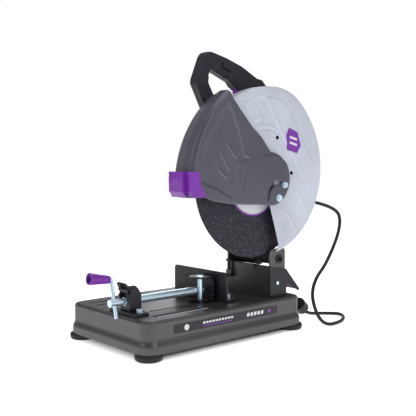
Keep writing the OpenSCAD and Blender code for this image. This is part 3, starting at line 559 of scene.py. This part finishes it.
def swept(path, radii, sides):
    """A closed round tube along a path, with a radius at each point. Path in millimetres."""
    path = np.array(path) * MM
    heading = np.gradient(path, axis=0)
    heading /= np.linalg.norm(heading, axis=1)[:, None]
    across = np.cross(heading[0], (0.3, 0.2, 1.0))
    mesh = bmesh.new()
    rings = []
    for place, ahead, radius in zip(path, heading, radii):
        across = across - ahead * (across @ ahead)
        across /= np.linalg.norm(across)
        up = np.cross(ahead, across)
        ring = []
        for k in range(sides):
            turn = 2 * math.pi * k / sides
            offset = (across * math.cos(turn) + up * math.sin(turn)) * radius * MM
            ring.append(mesh.verts.new(place + offset))
        rings.append(ring)
    for low, high in zip(rings[:-1], rings[1:]):
        for k in range(sides):
            mesh.faces.new((low[k], low[(k + 1) % sides], high[(k + 1) % sides], high[k])).smooth = True
    mesh.faces.new(rings[0][::-1])
    mesh.faces.new(rings[-1])
    bmesh.ops.recalc_face_normals(mesh, faces=mesh.faces)
    out = bpy.data.meshes.new("swept")
    mesh.to_mesh(out)
    mesh.free()
    return out


# The cord's path from the strain relief to its plug, in millimetres, as the CAD cord runs.
CORD_CORNERS = [
    (30, 232, 323),
    (30, 262, 315.7),
    (97, 418, 285),
    (108, 428, 236),
    (134, 340, 150),
    (150, 270, 113),
    (155, 255, 66),
    (176, 272, 4.4),
    (176, 352, 4.4),
    (120, 424, 4.4),
    (84, 392, 4.4),
    (98, 318, 16),
    (96, 300, 24),
]
CORD_R = 4.2
SLEEVE_START = np.array([30, 167, 338.7])
SLEEVE_END = np.array([30, 236, 322.0])


def ribbed_sleeve():
    """The rubber strain relief: a taper with rings moulded round it."""
    stations = np.linspace(0, 1, 85)
    path = SLEEVE_START + stations[:, None] * (SLEEVE_END - SLEEVE_START)
    ring = np.where(np.sin(stations * 2 * math.pi * 9) > 0.15, 0.0, -1.5) * (stations > 0.18)
    taper = 9 - 3 * stations
    link("strain_relief", swept(path, taper + ring, 32), "rubber", "head")


def hanging_cord():
    path = rounded_path(CORD_CORNERS, 4)
    cord = link("cord", swept(path, np.full(len(path), CORD_R), 16), "rubber", None)
    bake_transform(cord)
    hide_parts("power_cord", "cord_sleeve")


ribbed_sleeve()
hanging_cord()


def wound_spring():
    """The return spring as one wound wire with its two straight legs."""
    turns = 6
    pitch = 6.2
    steps = 24
    coil_r = 13
    wire_r = 1.9
    axis_y, axis_z, x0 = 176.0, 171.0, 64.0
    path = [(x0, axis_y - coil_r, axis_z - 20 + 2 * i) for i in range(10)]
    for i in range(turns * steps + steps // 2 + 1):
        turn = math.pi - 2 * math.pi * i / steps
        y = axis_y + coil_r * math.cos(turn)
        z = axis_z + coil_r * math.sin(turn)
        path.append((x0 + pitch * i / steps, y, z))
    end_x = path[-1][0]
    path += [(end_x, axis_y + coil_r, axis_z - 4 * i) for i in range(1, 15)]
    wire = swept(path, np.full(len(path), wire_r), 12)
    spring = link("return_spring", wire, "black_paint", "base")
    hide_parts("torsion_spring")


wound_spring()


# ---- printed marks, all plain shapes --------------------------------------------------


def flat_marks(name, shapes, x0, x1, colour, body, slot):
    """Thin printed shapes on a face that looks along +X. Shapes are (y, z) outlines in metres."""
    mesh = bmesh.new()
    for outline in shapes:
        back = [mesh.verts.new((x0, y, z)) for y, z in outline]
        front = [mesh.verts.new((x1, y, z)) for y, z in outline]
        mesh.faces.new(front)
        mesh.faces.new(back[::-1])
        for k in range(len(outline)):
            n = (k + 1) % len(outline)
            mesh.faces.new((back[k], back[n], front[n], front[k]))
    bmesh.ops.recalc_face_normals(mesh, faces=mesh.faces)
    out = bpy.data.meshes.new(name)
    mesh.to_mesh(out)
    mesh.free()
    piece = link(name, out, slot, body)
    piece.data.materials.clear()
    piece.data.materials.append(colour)


def printed(name, colour):
    """Printing ink: slightly uneven colour on a satin film."""
    t = Tree(name)
    tone = t.ramp(t.noise(420, 3), [(0.3, shade(colour, 0.9)[:3]), (0.7, shade(colour, 1.05)[:3])])
    return t.set(Base_Color=tone, Roughness=0.38, Normal=t.bump(t.noise(1400, 2), 0.00002))


def bar(y, z, length, height, slant=0.0):
    """An upright bar's outline: its low front corner, size and slant, in millimetres."""
    corners = [(y, z), (y + length, z), (y + length + slant, z + height), (y + slant, z + height)]
    return [(a * MM, b * MM) for a, b in corners]


def round_mark(y, z, radius, sides=28):
    angles = [2 * math.pi * k / sides for k in range(sides)]
    return [((y + radius * math.cos(a)) * MM, (z + radius * math.sin(a)) * MM) for a in angles]


WHITE_INK = printed("white_ink", (0.74, 0.75, 0.78))
PURPLE_INK = printed("purple_ink", (0.2, 0.028, 0.36))

LABEL_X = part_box("side_label")[1].x
SMALL_BARS = [bar(-84 + 9 * i, 59, 6.5, 4.2, 1) for i in range(10)]
LARGE_BARS = [bar(46 + 11 * i, 55, 7.5, 8, 2) for i in range(5)]
flat_marks(
    "label_bars",
    [round_mark(-128, 58.5, 6.5)] + SMALL_BARS + LARGE_BARS,
    LABEL_X,
    LABEL_X + 0.1 * MM,
    WHITE_INK,
    "base",
    "label_film",
)
flat_marks(
    "label_lines",
    [bar(-84, 53.5, 86, 1.8), round_mark(118, 58.5, 4.5)],
    LABEL_X,
    LABEL_X + 0.1 * MM,
    PURPLE_INK,
    "base",
    "label_film",
)


def on_light_guard(outline):
    return [tuple(p) for p in from_spindle(outline)]


BADGE_X = NEAR_GUARD_X + 1.5 * MM
BADGE = on_light_guard([(84, 70), (116, 62), (130, 80), (118, 112), (88, 122), (78, 104)])
BADGE_BARS = [
    on_light_guard([(90, 98 - drop), (115, 92 - drop), (116, 97 - drop), (91, 103 - drop)]) for drop in (0, 13)
]
flat_marks("guard_badge", [BADGE], BADGE_X - 1 * MM, BADGE_X + 0.3 * MM, PURPLE_INK, "head", "label_film")
flat_marks("guard_badge_bars", BADGE_BARS, BADGE_X, BADGE_X + 0.4 * MM, WHITE_INK, "head", "label_film")

# ---- studio -------------------------------------------------------------------------


def pale_floor():
    bpy.ops.mesh.primitive_plane_add(size=14, location=(0, 0, -0.0005))
    floor = bpy.context.object
    floor.name = "studio_floor"
    t = Tree("studio_floor")
    tone = t.ramp(t.noise(2.5, 3), [(0.3, (0.93, 0.93, 0.94)), (0.7, (0.96, 0.96, 0.97))])
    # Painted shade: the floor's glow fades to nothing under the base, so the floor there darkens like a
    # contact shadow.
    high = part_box("base_pan")[1]
    across = t.add("ShaderNodeSeparateXYZ", Vector=t.place)
    side = t.math("DIVIDE", t.math("ABSOLUTE", across.outputs["X"]), high.x)
    end = t.math("DIVIDE", t.math("ABSOLUTE", across.outputs["Y"]), high.y)
    glow_outside_base = t.ramp(t.math("MAXIMUM", side, end), [(0.8, (0, 0, 0)), (1.0, (1, 1, 1))])
    glow = t.math("MULTIPLY", glow_outside_base, 0.7)
    t.set(Base_Color=tone, Roughness=0.85, Emission_Color=(1, 1, 1, 1), Emission_Strength=glow)
    floor.data.materials.append(t.material)


def soft_light(name, place, target, size, power, colour=(1, 1, 1)):
    light = bpy.data.lights.new(name, "AREA")
    light.shape = "RECTANGLE"
    light.size, light.size_y = size
    light.energy = power
    light.color = colour
    obj = bpy.data.objects.new(name, light)
    obj.location = place
    obj.rotation_euler = (Vector(target) - Vector(place)).to_track_quat("-Z", "Y").to_euler()
    bpy.context.scene.collection.objects.link(obj)


def studio():
    pale_floor()
    aim = (0, 0, 0.3)
    soft_light("key", (-0.6, -2.5, 2.1), aim, (1.6, 1.6), 17)
    soft_light("side", (2.8, 0.6, 1.5), aim, (1.4, 1.8), 19, (0.96, 0.97, 1.0))
    soft_light("top", (0.1, 0.3, 2.6), aim, (2.2, 2.2), 20)
    soft_light("back", (-1.8, 1.9, 1.5), aim, (1.2, 1.6), 14, (0.95, 0.96, 1.0))
    world = bpy.data.worlds.new("studio")
    bpy.context.scene.world = world
    world.use_nodes = True
    tree = world.node_tree
    ambient = tree.nodes["Background"]
    ambient.inputs["Color"].default_value = (0.94, 0.96, 1.0, 1)
    ambient.inputs["Strength"].default_value = 0.35
    backdrop = tree.nodes.new("ShaderNodeBackground")
    backdrop.inputs["Color"].default_value = (1, 1, 1, 1)
    path = tree.nodes.new("ShaderNodeLightPath")
    choose = tree.nodes.new("ShaderNodeMixShader")
    tree.links.new(path.outputs["Is Camera Ray"], choose.inputs[0])
    tree.links.new(ambient.outputs[0], choose.inputs[1])
    tree.links.new(backdrop.outputs[0], choose.inputs[2])
    tree.links.new(choose.outputs[0], tree.nodes["World Output"].inputs["Surface"])
    bpy.context.scene.view_settings.view_transform = "Standard"


def photo_camera():
    lens = bpy.data.cameras.new("camera")
    lens.lens = 62.28
    lens.sensor_width = 36
    camera = bpy.data.objects.new("camera", lens)
    camera.location = (1.2784, -1.0697, 0.4046)
    camera.rotation_euler = (math.radians(86.18), 0, math.radians(48.57))
    bpy.context.scene.collection.objects.link(camera)
    bpy.context.scene.camera = camera


studio()
photo_camera()
